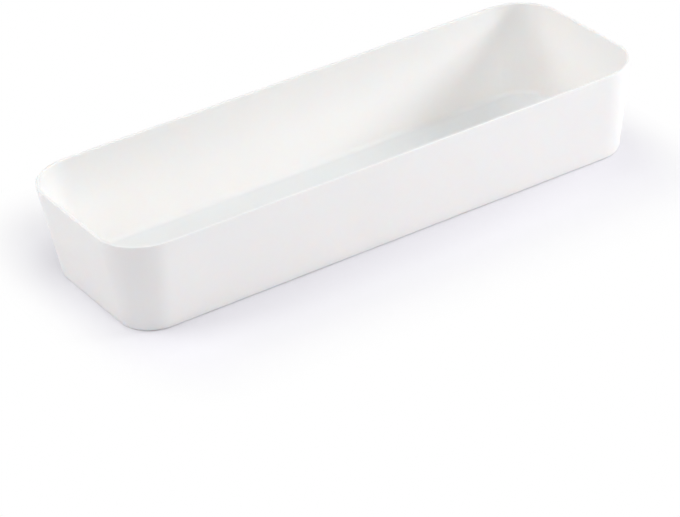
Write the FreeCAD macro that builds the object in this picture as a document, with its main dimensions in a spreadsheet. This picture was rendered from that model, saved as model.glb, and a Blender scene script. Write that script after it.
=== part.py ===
import FreeCAD, Part
import math
import os

import Sketcher
from FreeCAD import Placement, Rotation, Vector

# Drawer organizer tray: a long, shallow, open-topped moulding in white polypropylene. Its walls
# lean outwards all round, so that it leaves its mould and nests in another tray. It stands on a
# flat border under its walls, because the middle of the underside is recessed. The mark of the
# gate, where the plastic came in, sits in a dimple in the middle of that recess.
#
# +X runs along the tray, +Y across it and +Z up. The origin is the middle of the tray, on the
# surface that it stands on.

document = FreeCAD.newDocument("DrawerOrganizer")

# Driving dimensions, in millimetres and degrees
DIMENSIONS = [
    ("tray_length", 310.0, "length over the rim"),
    ("tray_width", 108.0, "width over the rim"),
    ("tray_height", 50.8, "height from the ground to the rim"),
    ("corner_radius", 26.0, "outside radius of the corners at the rim"),
    ("wall_draft", 8.3, "lean of the outside of the walls"),
    ("core_extra_draft", 0.8, "further lean of the inside, which thickens the walls downwards"),
    ("wall_thickness", 1.9, "thickness of the walls at the rim, measured level"),
    ("floor_thickness", 1.3, "thickness of the floor"),
    ("rim_edge_radius", 0.4, "rounding of the rim's two edges"),
    ("floor_fillet_radius", 3.0, "rounding inside, between the walls and the floor"),
    ("base_edge_radius", 1.5, "rounding outside, between the walls and the underside"),
    ("border_width", 5.0, "width of the border that the tray stands on"),
    ("recess_depth", 0.3, "height of the middle of the underside above the border"),
    ("dimple_diameter", 12.0, "diameter of the dimple round the gate mark"),
    ("dimple_depth", 0.4, "depth of that dimple"),
    ("gate_diameter", 2.5, "diameter of the gate mark"),
    ("gate_height", 0.3, "height of the gate mark above the bottom of its dimple"),
]

sheet = document.addObject("Spreadsheet::Sheet", "Dimensions")
for row, (alias, value, note) in enumerate(DIMENSIONS, start=1):
    sheet.set(f"A{row}", note)
    sheet.set(f"B{row}", str(value))
    sheet.setAlias(f"B{row}", alias)
document.recompute()

# Sizes that follow from the driving ones, as expressions over the sheet
FLOOR_LEVEL = "(Dimensions.recess_depth + Dimensions.floor_thickness)"
CAVITY_DEPTH = f"(Dimensions.tray_height - {FLOOR_LEVEL})"
BASE_INSET = "(Dimensions.tray_height * tan(Dimensions.wall_draft * 1 deg))"
RECESS_INSET = f"({BASE_INSET} + Dimensions.border_width)"
CORE_DRAFT = "(Dimensions.wall_draft + Dimensions.core_extra_draft)"

SAME_LEVEL = 1e-4
QUARTER_TURN = math.pi / 2
START, END, CENTRE = 1, 2, 3
SKETCH_ORIGIN = (-1, 1)


def measure(expression):
    """The number that an expression over the sheet comes to."""
    result = sheet.evalExpression(expression)
    return float(getattr(result, "Value", result))


def level_sketch(body, name, height):
    """A level sketch at a height above the ground."""
    sketch = body.newObject("Sketcher::SketchObject", name)
    ground = [plane for plane in body.Origin.OriginFeatures if plane.Role == "XY_Plane"]
    sketch.AttachmentSupport = (ground[0], [""])
    sketch.MapMode = "FlatFace"
    sketch.AttachmentOffset = Placement(Vector(0, 0, measure(height)), Rotation())
    sketch.setExpression(".AttachmentOffset.Base.z", height)
    return sketch


def drive(sketch, constraint, name, expression):
    """Adds a dimension to a sketch, under a name, and ties its value to the sheet."""
    index = sketch.addConstraint(constraint)
    sketch.renameConstraint(index, name)
    sketch.setExpression(f"Constraints.{name}", expression)


def draw_outline(sketch, name, inset):
    """Draws the tray's rounded outline, parallel to the rim's and inside it by the inset."""
    length = f"Dimensions.tray_length - 2 * {inset}"
    width = f"Dimensions.tray_width - 2 * {inset}"
    radius = f"Dimensions.corner_radius - {inset}"

    corner_radius = measure(radius)
    reach_x = measure(length) / 2 - corner_radius
    reach_y = measure(width) / 2 - corner_radius
    centres = [
        Vector(reach_x, reach_y, 0),
        Vector(-reach_x, reach_y, 0),
        Vector(-reach_x, -reach_y, 0),
        Vector(reach_x, -reach_y, 0),
    ]
    corners = []
    for quarter, centre in enumerate(centres):
        circle = Part.Circle(centre, Vector(0, 0, 1), corner_radius)
        start_angle = quarter * QUARTER_TURN
        corners.append(Part.ArcOfCircle(circle, start_angle, start_angle + QUARTER_TURN))
    sides = []
    for corner, next_corner in zip(corners, corners[1:] + corners[:1]):
        sides.append(Part.LineSegment(corner.EndPoint, next_corner.StartPoint))

    arcs = sketch.addGeometry(corners, False)
    lines = sketch.addGeometry(sides, False)
    for arc, line, next_arc in zip(arcs, lines, arcs[1:] + arcs[:1]):
        sketch.addConstraint(Sketcher.Constraint("Tangent", arc, END, line, START))
        sketch.addConstraint(Sketcher.Constraint("Tangent", line, END, next_arc, START))
    for arc in arcs[1:]:
        sketch.addConstraint(Sketcher.Constraint("Equal", arcs[0], arc))
    far_side, left_end, near_side, right_end = lines
    for line in (far_side, near_side):
        sketch.addConstraint(Sketcher.Constraint("Horizontal", line))
    for line in (left_end, right_end):
        sketch.addConstraint(Sketcher.Constraint("Vertical", line))
    opposite = (arcs[0], CENTRE, arcs[2], CENTRE)
    sketch.addConstraint(Sketcher.Constraint("Symmetric", *opposite, *SKETCH_ORIGIN))

    along = ("DistanceX", left_end, START, right_end, START, measure(length))
    across = ("DistanceY", near_side, START, far_side, START, measure(width))
    rounding = ("Radius", arcs[0], corner_radius)
    drive(sketch, Sketcher.Constraint(*along), f"{name}_length", length)
    drive(sketch, Sketcher.Constraint(*across), f"{name}_width", width)
    drive(sketch, Sketcher.Constraint(*rounding), f"{name}_radius", radius)


def draw_disc(sketch, name, diameter):
    """Draws a circle round the middle of the tray."""
    circle = Part.Circle(Vector(0, 0, 0), Vector(0, 0, 1), measure(diameter) / 2)
    edge = sketch.addGeometry(circle, False)
    sketch.addConstraint(Sketcher.Constraint("Coincident", edge, CENTRE, *SKETCH_ORIGIN))
    size = Sketcher.Constraint("Diameter", edge, measure(diameter))
    drive(sketch, size, f"{name}_diameter", diameter)


def extrude(body, kind, name, profile, length, upwards, draft=None):
    """Pads or pockets a level profile, and checks that the body's volume changed to suit."""
    volume_before = body.Shape.Volume if body.Tip else 0.0
    feature = body.newObject(f"PartDesign::{kind}", name)
    feature.Profile = profile
    feature.Length = measure(length)
    feature.setExpression("Length", length)
    feature.Reversed = upwards if kind == "Pocket" else not upwards
    if draft:
        feature.TaperAngle = -measure(draft)
        feature.setExpression("TaperAngle", f"-{draft}")
    document.recompute()
    added = feature.Shape.Volume - volume_before
    if (added > 0) != (kind == "Pad"):
        raise RuntimeError(f"{name} changed the volume by {added:.1f} mm3")
    return feature


def round_edges(body, name, base, height, radius):
    """Rounds all the edges of the base feature that lie level at a height."""
    level = measure(height)
    edges = []
    for number, edge in enumerate(base.Shape.Edges, start=1):
        if all(abs(point.z - level) < SAME_LEVEL for point in edge.discretize(3)):
            edges.append(f"Edge{number}")
    fillet = body.newObject("PartDesign::Fillet", name)
    fillet.Base = (base, edges)
    fillet.Radius = measure(radius)
    fillet.setExpression("Radius", radius)
    document.recompute()
    return fillet


def build_tray():
    """The whole moulding: drafted shell, recessed underside, rounded edges and gate mark."""
    tray = document.addObject("PartDesign::Body", "OrganizerTray")
    tray.Label = "organizer_tray"

    # Outside of the shell, drafted down from the rim's outline, with its lower edge rounded
    rim_outline = level_sketch(tray, "RimOutline", "Dimensions.tray_height")
    draw_outline(rim_outline, "rim", "0")
    full_height = "Dimensions.tray_height"
    wall_draft = "Dimensions.wall_draft"
    block = extrude(tray, "Pad", "DraftedBlock", rim_outline, full_height, False, wall_draft)
    round_edges(tray, "BaseEdge", block, "0", "Dimensions.base_edge_radius")

    # Recess underneath, which leaves a border to stand on
    recess_outline = level_sketch(tray, "RecessOutline", "0")
    draw_outline(recess_outline, "recess", RECESS_INSET)
    recess_depth = "Dimensions.recess_depth"
    extrude(tray, "Pocket", "Recess", recess_outline, recess_depth, True)

    # Inside of the shell, cut by a core with a little more draft and well rounded at the floor
    mouth_outline = level_sketch(tray, "MouthOutline", "Dimensions.tray_height")
    draw_outline(mouth_outline, "mouth", "Dimensions.wall_thickness")
    cavity = extrude(tray, "Pocket", "Cavity", mouth_outline, CAVITY_DEPTH, False, CORE_DRAFT)
    inside = round_edges(
        tray, "FloorFillet", cavity, FLOOR_LEVEL, "Dimensions.floor_fillet_radius"
    )
    round_edges(tray, "RimEdges", inside, "Dimensions.tray_height", "Dimensions.rim_edge_radius")

    # Gate mark, a low stub in a dimple, so that nothing stands out of the recess
    dimple_outline = level_sketch(tray, "DimpleOutline", "Dimensions.recess_depth")
    draw_disc(dimple_outline, "dimple", "Dimensions.dimple_diameter")
    extrude(tray, "Pocket", "GateDimple", dimple_outline, "Dimensions.dimple_depth", True)
    dimple_level = "(Dimensions.recess_depth + Dimensions.dimple_depth)"
    gate_outline = level_sketch(tray, "GateOutline", dimple_level)
    draw_disc(gate_outline, "gate", "Dimensions.gate_diameter")
    extrude(tray, "Pad", "GateMark", gate_outline, "Dimensions.gate_height", False)

    tray.Placement = Placement(Vector(0, 0, 0), Rotation())
    return tray


def check(sub_parts):
    """Stops before anything is written if an object failed or a sub-part isn't one good solid."""
    for item in document.Objects:
        if "Invalid" in item.State or "Error" in item.State:
            raise RuntimeError(f"{item.Label} failed: {item.State}")
    for sub_part in sub_parts:
        shape = sub_part.Shape
        if shape.isNull() or not shape.isValid() or len(shape.Solids) != 1:
            raise RuntimeError(f"{sub_part.Label} isn't one valid solid")


def export(sub_parts):
    """Writes each sub-part to its own file, named by its label."""
    os.makedirs("parts", exist_ok=True)
    for sub_part in sub_parts:
        shape = sub_part.Shape
        shape.exportStep(f"parts/{sub_part.Label}.step")
        box = shape.optimalBoundingBox(False, False)
        size = f"{box.XLength:.2f} x {box.YLength:.2f} x {box.ZLength:.2f} mm"
        print(f"{sub_part.Label}: {size}, {shape.Volume / 1000:.2f} cm3")


sub_parts = [build_tray()]
document.recompute()
check(sub_parts)
export(sub_parts)
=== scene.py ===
import bpy
import math
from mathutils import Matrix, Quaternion, Vector


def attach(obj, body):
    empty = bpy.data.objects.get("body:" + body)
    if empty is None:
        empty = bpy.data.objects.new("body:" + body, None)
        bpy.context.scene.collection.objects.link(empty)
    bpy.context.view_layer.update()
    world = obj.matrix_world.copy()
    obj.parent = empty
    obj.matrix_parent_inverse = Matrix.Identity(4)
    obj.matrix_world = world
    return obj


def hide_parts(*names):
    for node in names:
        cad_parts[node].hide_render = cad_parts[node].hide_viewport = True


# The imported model: one node, the tray
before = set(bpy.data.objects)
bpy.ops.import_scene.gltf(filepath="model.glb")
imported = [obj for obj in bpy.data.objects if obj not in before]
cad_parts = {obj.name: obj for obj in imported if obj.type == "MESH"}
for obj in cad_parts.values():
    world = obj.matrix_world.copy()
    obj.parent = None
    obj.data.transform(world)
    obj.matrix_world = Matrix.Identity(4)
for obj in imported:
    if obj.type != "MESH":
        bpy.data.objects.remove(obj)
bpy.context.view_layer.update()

# The tray
# A single moulding in white polypropylene: leaning walls, rounded corners and a flat floor. It is
# injection moulded in one shot, through a gate in the middle of its recessed underside.
tray_sizes = {
    "Length": 0.31,
    "Width": 0.108,
    "Height": 0.0508,
    "Corner radius": 0.026,
    "Wall draft": math.radians(8.3),
    "Core draft": math.radians(9.1),
    "Wall thickness": 0.0019,
    "Floor thickness": 0.0013,
    "Rim rounding": 0.0004,
    "Floor fillet": 0.003,
    "Border width": 0.005,
    "Recess depth": 0.0003,
    "Base rounding": 0.0015,
    "Flat border": 0.0085,
    "Dimple radius": 0.006,
    "Dimple depth": 0.0004,
    "Gate radius": 0.00125,
    "Gate height": 0.0003,
}
tray_steps = {"Corner steps": 32, "Fillet steps": 8, "Dimple steps": 48}
same_level = 1e-5
weld_distance = 2e-6
sharp_angle = math.radians(40)


def add_node(tree, kind, sockets=None, **settings):
    """Adds a node with its own settings. Each of its sockets gets a value or a link."""
    node = tree.nodes.new(kind)
    for name, value in settings.items():
        setattr(node, name, value)
    for name, value in (sockets or {}).items():
        if isinstance(value, bpy.types.NodeSocket):
            tree.links.new(value, node.inputs[name])
        else:
            node.inputs[name].default_value = value
    return node


moulding = bpy.data.node_groups.new("moulded_tray", "GeometryNodeTree")
for name in tray_sizes:
    moulding.interface.new_socket(name, in_out="INPUT", socket_type="NodeSocketFloat")
for name in tray_steps:
    moulding.interface.new_socket(name, in_out="INPUT", socket_type="NodeSocketInt")
moulding.interface.new_socket("Plastic", in_out="INPUT", socket_type="NodeSocketMaterial")
moulding.interface.new_socket("Tray", in_out="OUTPUT", socket_type="NodeSocketGeometry")
size = add_node(moulding, "NodeGroupInput").outputs

# Levels and insets from the rim's outline, where the drafted walls meet the flat faces
outer_slope = add_node(moulding, "ShaderNodeMath", {0: size["Wall draft"]}, operation="TANGENT")
inner_slope = add_node(moulding, "ShaderNodeMath", {0: size["Core draft"]}, operation="TANGENT")
base_inset = add_node(
    moulding, "ShaderNodeMath", {0: size["Height"], 1: outer_slope.outputs[0]},
    operation="MULTIPLY",
)
floor_level = add_node(
    moulding, "ShaderNodeMath", {0: size["Recess depth"], 1: size["Floor thickness"]}
)
cavity_depth = add_node(
    moulding, "ShaderNodeMath", {0: size["Height"], 1: floor_level.outputs[0]},
    operation="SUBTRACT",
)
floor_inset = add_node(
    moulding, "ShaderNodeMath",
    {0: cavity_depth.outputs[0], 1: inner_slope.outputs[0], 2: size["Wall thickness"]},
    operation="MULTIPLY_ADD",
)
floor_border = add_node(
    moulding, "ShaderNodeMath", {0: floor_inset.outputs[0], 1: size["Flat border"]}
)
recess_inset = add_node(
    moulding, "ShaderNodeMath", {0: base_inset.outputs[0], 1: size["Border width"]}
)
recess_border = add_node(
    moulding, "ShaderNodeMath", {0: recess_inset.outputs[0], 1: size["Flat border"]}
)
dimple_level = add_node(
    moulding, "ShaderNodeMath", {0: size["Recess depth"], 1: size["Dimple depth"]}
)
gate_level = add_node(
    moulding, "ShaderNodeMath", {0: dimple_level.outputs[0], 1: size["Gate height"]},
    operation="SUBTRACT",
)
gate_inset = add_node(
    moulding, "ShaderNodeMath", {0: size["Dimple radius"], 1: size["Gate radius"]},
    operation="SUBTRACT",
)

# Paths: the rim's outline, and the dimple's edge round the gate
corner_points = add_node(
    moulding, "GeometryNodeCurvePrimitiveQuadrilateral",
    {"Width": size["Length"], "Height": size["Width"]},
)
rim_outline = add_node(
    moulding, "GeometryNodeFilletCurve",
    {
        "Curve": corner_points.outputs[0],
        "Count": size["Corner steps"],
        "Radius": size["Corner radius"],
    },
    mode="POLY",
)
dimple_edge = add_node(
    moulding, "GeometryNodeCurvePrimitiveCircle",
    {"Resolution": size["Dimple steps"], "Radius": size["Dimple radius"]},
)

# Sections that run along the paths. Each point has its inset, its level and its rounding.
tray_section = (
    (floor_border.outputs[0], floor_level.outputs[0], 0.0),
    (floor_inset.outputs[0], floor_level.outputs[0], size["Floor fillet"]),
    (size["Wall thickness"], size["Height"], size["Rim rounding"]),
    (0.0, size["Height"], size["Rim rounding"]),
    (base_inset.outputs[0], 0.0, size["Base rounding"]),
    (recess_inset.outputs[0], 0.0, 0.0),
    (recess_inset.outputs[0], size["Recess depth"], 0.0),
    (recess_border.outputs[0], size["Recess depth"], 0.0),
)
gate_section = (
    (0.0, size["Recess depth"], 0.0),
    (0.0, dimple_level.outputs[0], 0.0),
    (gate_inset.outputs[0], dimple_level.outputs[0], 0.0),
    (gate_inset.outputs[0], gate_level.outputs[0], 0.0),
)
swept = []
for path, section in ((rim_outline, tray_section), (dimple_edge, gate_section)):
    point = add_node(moulding, "GeometryNodeInputIndex")
    place = add_node(moulding, "GeometryNodeIndexSwitch", data_type="VECTOR")
    rounding = add_node(moulding, "GeometryNodeIndexSwitch", data_type="FLOAT")
    for choice in (place, rounding):
        moulding.links.new(point.outputs[0], choice.inputs["Index"])
        while len(choice.index_switch_items) < len(section):
            choice.index_switch_items.new()
    for number, (inset, level, radius) in enumerate(section):
        corner = add_node(moulding, "ShaderNodeCombineXYZ", {"X": inset, "Y": level})
        moulding.links.new(corner.outputs[0], place.inputs[f"Item_{number}"])
        if isinstance(radius, bpy.types.NodeSocket):
            moulding.links.new(radius, rounding.inputs[f"Item_{number}"])
    points = add_node(
        moulding, "GeometryNodePoints", {"Count": len(section), "Position": place.outputs[0]}
    )
    line = add_node(moulding, "GeometryNodePointsToCurves", {"Points": points.outputs[0]})
    rounded = add_node(
        moulding, "GeometryNodeFilletCurve",
        {"Curve": line.outputs[0], "Count": size["Fillet steps"], "Radius": rounding.outputs[0]},
        mode="POLY",
    )
    inwards = add_node(
        moulding, "GeometryNodeTransform",
        {"Geometry": rounded.outputs[0], "Rotation": (0.0, 0.0, math.pi)},
    )
    upright = add_node(
        moulding, "GeometryNodeSetCurveNormal", {"Curve": path.outputs[0]}, mode="Z_UP"
    )
    swept.append(
        add_node(
            moulding, "GeometryNodeCurveToMesh",
            {"Curve": upright.outputs[0], "Profile Curve": inwards.outputs[0]},
        )
    )
walls = add_node(moulding, "GeometryNodeJoinGeometry")
for surface in swept:
    moulding.links.new(surface.outputs[0], walls.inputs[0])

# Flat faces that close the moulding: the floor inside, the underside round the dimple, and the
# end of the gate mark. Each fills the open edges at its level. Compare nodes take whole numbers at
# their sockets 2 and 3.
first_whole, second_whole = 2, 3
position = add_node(moulding, "GeometryNodeInputPosition")
height_above = add_node(moulding, "ShaderNodeSeparateXYZ", {0: position.outputs[0]})
faces_at_edge = add_node(moulding, "GeometryNodeInputMeshEdgeNeighbors")
open_edge = add_node(
    moulding, "FunctionNodeCompare", {first_whole: faces_at_edge.outputs[0], second_whole: 1},
    data_type="INT", operation="EQUAL",
)
shell = add_node(moulding, "GeometryNodeJoinGeometry", {0: walls.outputs[0]})
flat_faces = (
    (floor_level.outputs[0], True), (size["Recess depth"], False), (gate_level.outputs[0], False)
)
for level, faces_up in flat_faces:
    at_level = add_node(
        moulding, "FunctionNodeCompare",
        {0: height_above.outputs["Z"], 1: level, "Epsilon": same_level}, operation="EQUAL",
    )
    open_here = add_node(
        moulding, "FunctionNodeBooleanMath", {0: open_edge.outputs[0], 1: at_level.outputs[0]}
    )
    loops = add_node(
        moulding, "GeometryNodeMeshToCurve",
        {"Mesh": walls.outputs[0], "Selection": open_here.outputs[0]},
    )
    face = add_node(moulding, "GeometryNodeFillCurve", {"Curve": loops.outputs[0]})
    if not faces_up:
        face = add_node(moulding, "GeometryNodeFlipFaces", {"Mesh": face.outputs[0]})
    lift = add_node(moulding, "ShaderNodeCombineXYZ", {"Z": level})
    lifted = add_node(
        moulding, "GeometryNodeTransform",
        {"Geometry": face.outputs[0], "Translation": lift.outputs[0]},
    )
    moulding.links.new(lifted.outputs[0], shell.inputs[0])
closed = add_node(
    moulding, "GeometryNodeMergeByDistance",
    {"Geometry": shell.outputs[0], "Distance": weld_distance},
)

# Smooth shading, apart from the sharp corners of the recess, the dimple and the gate mark
smooth = add_node(moulding, "GeometryNodeSetShadeSmooth", {"Geometry": closed.outputs[0]})
edge_angle = add_node(moulding, "GeometryNodeInputMeshEdgeAngle")
sharp = add_node(
    moulding, "FunctionNodeCompare", {0: edge_angle.outputs[0], 1: sharp_angle},
    operation="GREATER_THAN",
)
shaded = add_node(
    moulding, "GeometryNodeSetShadeSmooth",
    {"Geometry": smooth.outputs[0], "Selection": sharp.outputs[0], "Shade Smooth": False},
    domain="EDGE",
)
real = add_node(moulding, "GeometryNodeRealizeInstances", {0: shaded.outputs[0]})
finished = add_node(
    moulding, "GeometryNodeSetMaterial", {"Geometry": real.outputs[0], "Material": size["Plastic"]}
)
add_node(moulding, "NodeGroupOutput", {0: finished.outputs[0]})


def linear(hex_colour):
    """An sRGB hex colour as linear red, green, blue and alpha, by the curve of that standard."""
    channels = [int(hex_colour[start:start + 2], 16) / 255 for start in (1, 3, 5)]
    curved = [c / 12.92 if c <= 0.04045 else ((c + 0.055) / 1.055) ** 2.4 for c in channels]
    return (*curved, 1.0)


# Satin white polypropylene, moulded against a fine spark-eroded surface: an even, slightly warm
# white with a soft sheen and no mirror image. Light goes a few millimetres into it, so its
# thin walls glow a little with the light from behind them.
plastic = bpy.data.materials.new("satin_white_polypropylene")
plastic.use_nodes = True
plastic.node_tree.nodes.clear()
plastic_place = add_node(plastic.node_tree, "ShaderNodeTexCoord")

# Moulded grain. The real one is 0.15 mm wide and is drawn 0.8 mm wide, so that it shows at all.
grain_width = 0.0008
grain_depth = 0.00002
grain = add_node(
    plastic.node_tree, "ShaderNodeTexNoise",
    {"Vector": plastic_place.outputs["Object"], "Scale": 1 / grain_width, "Detail": 1.0},
)
grain_relief = add_node(
    plastic.node_tree, "ShaderNodeBump",
    {"Height": grain.outputs["Fac"], "Strength": 1.0, "Distance": grain_depth},
)

# Flow and cooling of the melt, which leave patches a few centimetres wide, a shade duller or paler.
# Most of the noise lies between 0.3 and 0.7. Mix nodes take colours at their sockets 6 and 7 and
# give the mixed one at 2.
patch_width = 0.03
first_colour, second_colour, mixed_colour = 6, 7, 2
flow = add_node(
    plastic.node_tree, "ShaderNodeTexNoise",
    {"Vector": plastic_place.outputs["Object"], "Scale": 1 / patch_width, "Detail": 2.0},
)
sheen = add_node(
    plastic.node_tree, "ShaderNodeMapRange",
    {
        "Value": flow.outputs["Fac"],
        "From Min": 0.3, "From Max": 0.7,
        "To Min": 0.38, "To Max": 0.46,
    },
)
tone = add_node(
    plastic.node_tree, "ShaderNodeMix",
    {
        "Factor": flow.outputs["Fac"],
        first_colour: linear("#f3f2f1"),
        second_colour: linear("#f5f4f3"),
    },
    data_type="RGBA",
)
shader = add_node(
    plastic.node_tree, "ShaderNodeBsdfPrincipled",
    {
        "Base Color": tone.outputs[mixed_colour],
        "Roughness": sheen.outputs["Result"],
        "IOR": 1.49,
        "Normal": grain_relief.outputs["Normal"],
        "Subsurface Weight": 0.75,
        "Subsurface Radius": (1.0, 0.8, 0.7),
        "Subsurface Scale": 0.003,
    },
)
add_node(plastic.node_tree, "ShaderNodeOutputMaterial", {"Surface": shader.outputs[0]})

tray = bpy.data.objects.new("moulded_tray", bpy.data.meshes.new("moulded_tray"))
bpy.context.scene.collection.objects.link(tray)
modifier = tray.modifiers.new("moulding", "NODES")
modifier.node_group = moulding
for socket in moulding.interface.items_tree:
    if socket.name in tray_sizes:
        modifier[socket.identifier] = tray_sizes[socket.name]
    elif socket.name in tray_steps:
        modifier[socket.identifier] = tray_steps[socket.name]
    elif socket.name == "Plastic":
        modifier[socket.identifier] = plastic
tray.modifiers.new("even_shading", "WEIGHTED_NORMAL").keep_sharp = True
evaluated = tray.evaluated_get(bpy.context.evaluated_depsgraph_get())
tray.data = bpy.data.meshes.new_from_object(evaluated)
tray.modifiers.clear()
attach(tray, "root")
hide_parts("organizer_tray")

# The floor
# A sheet of matt white studio paper that the tray stands on and throws its shadow on. To the camera
# and in reflections it fades into plain white within 85 mm of the tray's long sides, and within
# half of that at its ends.
floor_radius = 6.0
floor_points = 96

# The fade starts at the tray's base: half the lengths of its straight sides, and its corner radius
base_straights = (0.129, 0.028, 0.0)
base_corner_radius = 0.0186
fade_width = 0.085
twice_as_fast_at_ends = (2.0, 1.0, 1.0)
paper = bpy.data.materials.new("matt_white_paper")
paper.use_nodes = True
paper.node_tree.nodes.clear()
paper_place = add_node(paper.node_tree, "ShaderNodeTexCoord")
paper_side = add_node(
    paper.node_tree, "ShaderNodeVectorMath", {0: paper_place.outputs["Object"]},
    operation="ABSOLUTE",
)
beyond_tray = add_node(
    paper.node_tree, "ShaderNodeVectorMath",
    {0: paper_side.outputs[0], 1: base_straights}, operation="SUBTRACT",
)
outside_tray = add_node(
    paper.node_tree, "ShaderNodeVectorMath", {0: beyond_tray.outputs[0], 1: (0.0, 0.0, 0.0)},
    operation="MAXIMUM",
)
stretched = add_node(
    paper.node_tree, "ShaderNodeVectorMath",
    {0: outside_tray.outputs[0], 1: twice_as_fast_at_ends}, operation="MULTIPLY",
)
from_tray = add_node(
    paper.node_tree, "ShaderNodeVectorMath", {0: stretched.outputs[0]}, operation="LENGTH"
)
fade = add_node(
    paper.node_tree, "ShaderNodeMapRange",
    {
        "Value": from_tray.outputs["Value"],
        "From Min": base_corner_radius,
        "From Max": base_corner_radius + fade_width,
    },
    interpolation_type="SMOOTHSTEP",
)
paper_ray = add_node(paper.node_tree, "ShaderNodeLightPath")
paper_mirrored = add_node(
    paper.node_tree, "ShaderNodeMath",
    {0: paper_ray.outputs["Is Glossy Ray"], 1: paper_ray.outputs["Is Transmission Ray"]},
    operation="MAXIMUM",
)
paper_seen = add_node(
    paper.node_tree, "ShaderNodeMath",
    {0: paper_ray.outputs["Is Camera Ray"], 1: paper_mirrored.outputs[0]}, operation="MAXIMUM",
)
paper_fade = add_node(
    paper.node_tree, "ShaderNodeMath", {0: fade.outputs["Result"], 1: paper_seen.outputs[0]},
    operation="MULTIPLY",
)
matt = add_node(paper.node_tree, "ShaderNodeBsdfDiffuse", {"Color": linear("#f4f3f8")})
plain_white = add_node(
    paper.node_tree, "ShaderNodeEmission", {"Color": linear("#ffffff"), "Strength": 1.0}
)
paper_shader = add_node(
    paper.node_tree, "ShaderNodeMixShader",
    {0: paper_fade.outputs[0], 1: matt.outputs[0], 2: plain_white.outputs[0]},
)
add_node(paper.node_tree, "ShaderNodeOutputMaterial", {"Surface": paper_shader.outputs[0]})
bpy.ops.mesh.primitive_circle_add(vertices=floor_points, radius=floor_radius, fill_type="NGON")
floor = bpy.context.object
floor.name = "studio_floor"
floor.data.materials.append(paper)

# The world
# White round the floor, for the camera and for reflections. The light comes from the lamps.
world = bpy.data.worlds.new("studio")
bpy.context.scene.world = world
world.use_nodes = True
world.node_tree.nodes.clear()
world_ray = add_node(world.node_tree, "ShaderNodeLightPath")
world_mirrored = add_node(
    world.node_tree, "ShaderNodeMath",
    {0: world_ray.outputs["Is Glossy Ray"], 1: world_ray.outputs["Is Transmission Ray"]},
    operation="MAXIMUM",
)
world_seen = add_node(
    world.node_tree, "ShaderNodeMath",
    {0: world_ray.outputs["Is Camera Ray"], 1: world_mirrored.outputs[0]}, operation="MAXIMUM",
)
white = add_node(
    world.node_tree, "ShaderNodeBackground",
    {"Color": linear("#ffffff"), "Strength": world_seen.outputs[0]},
)
add_node(world.node_tree, "ShaderNodeOutputWorld", {"Surface": white.outputs[0]})

# The lamps
# Square softboxes that face the tray from all round. Each has its azimuth and elevation in degrees,
# its side in metres and its power in watts. Azimuth 0 is in front of the long near wall and 90 is
# off the right end. The edge of the key's light falls on the near left corner.
lamp_distance = 1.2
lamps = (
    ("key", 60, 22, 0.3, 5.94),
    ("right", 90, 22, 0.4, 2.20),
    ("front", 0, 35, 0.8, 4.11),
    ("left", -60, 35, 0.8, 1.34),
    ("left_back", -120, 35, 0.8, 5.88),
    ("back", -150, 35, 0.6, 1.29),
    ("overhead", 0, 90, 0.8, 4.45),
)


def direction(azimuth, elevation):
    """The direction that an azimuth and an elevation, in radians, give from the tray."""
    level = math.cos(elevation)
    return Vector((math.sin(azimuth) * level, -math.cos(azimuth) * level, math.sin(elevation)))


for name, azimuth, elevation, side, power in lamps:
    light = bpy.data.lights.new(name, "AREA")
    light.shape = "SQUARE"
    light.size = side
    light.energy = power
    lamp = bpy.data.objects.new(name, light)
    bpy.context.scene.collection.objects.link(lamp)
    back = direction(math.radians(azimuth), math.radians(elevation))
    lamp.location = back * lamp_distance
    lamp.rotation_mode = "QUATERNION"
    lamp.rotation_quaternion = back.to_track_quat("Z", "Y")

# The camera
# Its angles, distance, lens and the point in the middle of its picture come from fitting the edges
# of the tray in the photograph. The focal length and the width are in the photograph's pixels.
azimuth, elevation, roll = math.radians(-29.97), math.radians(29.95), math.radians(-5.14)
camera_distance = 1.5026
middle_of_picture = Vector((-0.03271, -0.04464, 0.0008))
focal_length = 3037.89
photograph_width = 680
back = direction(azimuth, elevation)
camera_data = bpy.data.cameras.new("camera")
camera_data.sensor_width = 36.0
camera_data.lens = focal_length * camera_data.sensor_width / photograph_width
camera = bpy.data.objects.new("camera", camera_data)
bpy.context.scene.collection.objects.link(camera)
camera.location = back * camera_distance + middle_of_picture
camera.rotation_mode = "QUATERNION"
camera.rotation_quaternion = back.to_track_quat("Z", "Y") @ Quaternion((0.0, 0.0, 1.0), roll)
bpy.context.scene.camera = camera
bpy.context.scene.view_settings.view_transform = "Standard"
